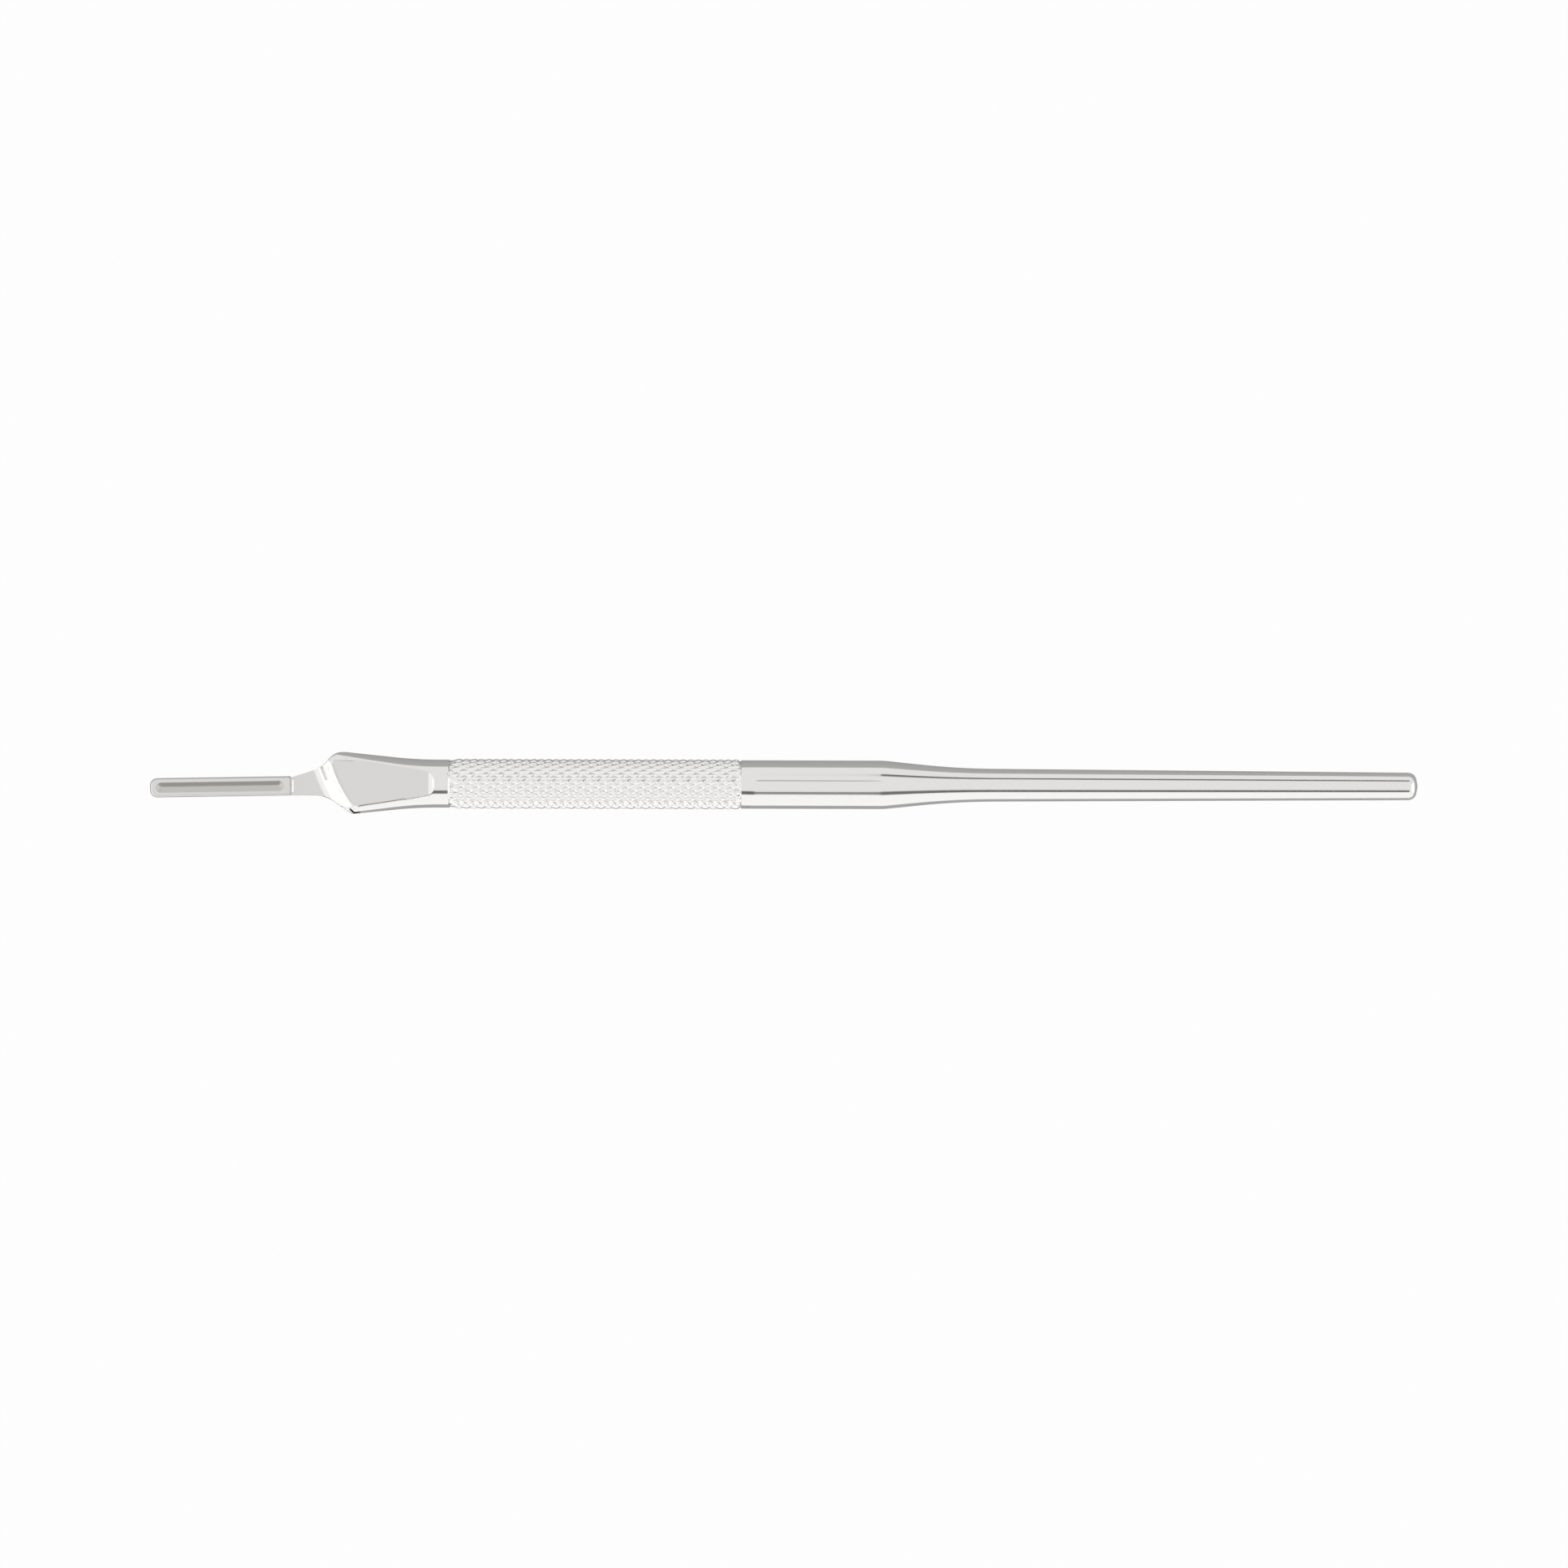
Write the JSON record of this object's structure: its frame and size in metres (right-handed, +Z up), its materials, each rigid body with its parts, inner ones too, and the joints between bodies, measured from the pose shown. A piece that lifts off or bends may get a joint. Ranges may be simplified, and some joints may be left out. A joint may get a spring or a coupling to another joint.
{
  "type": "scalpel handle",
  "caption": "Round stainless steel scalpel handle with a knurled grip, a keyed fitting for slide-on blades and a long slim tapered shank",
  "frame": {"origin": "middle of the handle's length and height, on the surface that it lies on", "axes": "+X from the blade key to the round rear end, +Y across the head, +Z up out of the key's raised bar"},
  "size_m": [0.1461, 0.0071, 0.0057],
  "materials": {
    "handle_steel": "satin polished surgical stainless steel"
  },
  "bodies": {
    "root": {"handle": "handle_steel"}
  },
  "joints": []
}
